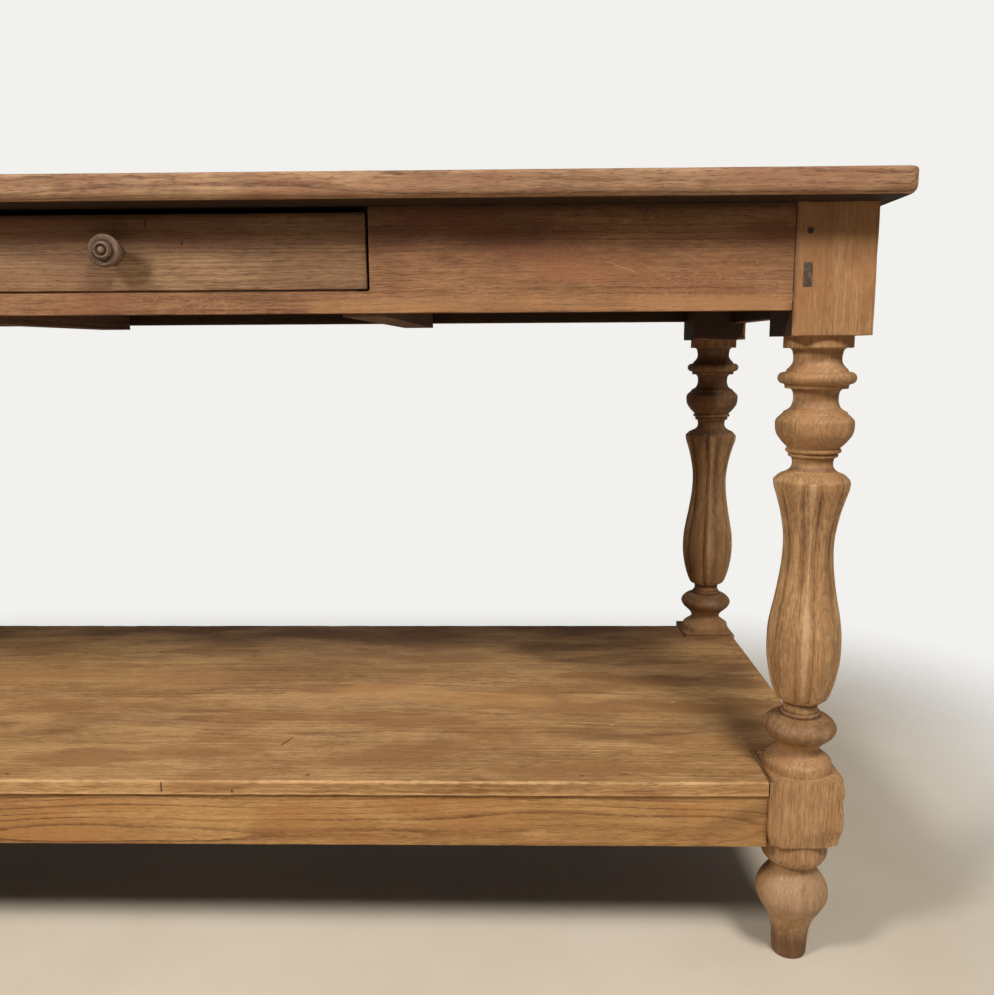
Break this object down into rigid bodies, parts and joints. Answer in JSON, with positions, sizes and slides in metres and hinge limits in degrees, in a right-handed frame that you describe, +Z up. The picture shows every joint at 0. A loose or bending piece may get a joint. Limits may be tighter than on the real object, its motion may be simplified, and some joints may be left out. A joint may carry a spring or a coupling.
{
  "type": "drapers table",
  "caption": "Long oak worktable on turned, fluted legs with a shallow centre drawer and a low full-width shelf.",
  "frame": {"origin": "on the floor, below the middle of the table", "axes": "+X along the length, to the right of someone facing the drawer; +Y towards the back; +Z up"},
  "size_m": [1.545, 0.673, 0.85],
  "materials": {
    "oak_top": "waxed, worn, warm brown oak",
    "oak_apron": "waxed reddish brown oak",
    "oak_rail": "waxed golden brown oak with strong figure",
    "oak_leg": "waxed, worn golden brown oak",
    "oak_shelf": "waxed, scuffed warm brown oak",
    "oak_drawer_front": "waxed brown oak",
    "knob_wood": "dark turned wood, dull",
    "peg_wood": "dark end grain",
    "inner_wood": "bare dusty oak",
    "filler": "grey brown filler",
    "screw_steel": "dull steel",
    "nail_iron": "dark iron"
  },
  "bodies": {
    "frame": {"top_board_front": "oak_top", "top_board_mid_front": "oak_top", "top_board_mid_back": "oak_top", "top_board_back": "oak_top", "leg_front_left": "oak_leg", "leg_front_right": "oak_leg", "leg_back_left": "oak_leg", "leg_back_right": "oak_leg", "leg_filler_patch": "filler", "front_apron": "oak_apron", "back_apron": "oak_apron", "left_apron": "oak_apron", "right_apron": "oak_apron", "apron_pegs": "peg_wood", "lower_rail_front": "oak_rail", "lower_rail_back": "oak_rail", "lower_rail_left": "oak_rail", "lower_rail_right": "oak_rail", "shelf_board_front": "oak_shelf", "shelf_board_middle": "oak_shelf", "shelf_board_back": "oak_shelf", "shelf_bearer": "inner_wood", "shelf_nails": "nail_iron", "drawer_runner_left": "inner_wood", "drawer_runner_right": "inner_wood", "drawer_guide_left": "inner_wood", "drawer_guide_right": "inner_wood", "drawer_stops": "inner_wood", "top_buttons": "inner_wood", "button_screws": "screw_steel"},
    "drawer": {"drawer_front": "oak_drawer_front", "drawer_side_left": "inner_wood", "drawer_side_right": "inner_wood", "drawer_back": "inner_wood", "drawer_bottom": "inner_wood", "drawer_knob": "knob_wood"}
  },
  "joints": [
    {"name": "drawer_slide", "type": "slide", "parent": "frame", "child": "drawer", "axis": [0, -1, 0], "range_m": [0, 0.3]}
  ]
}
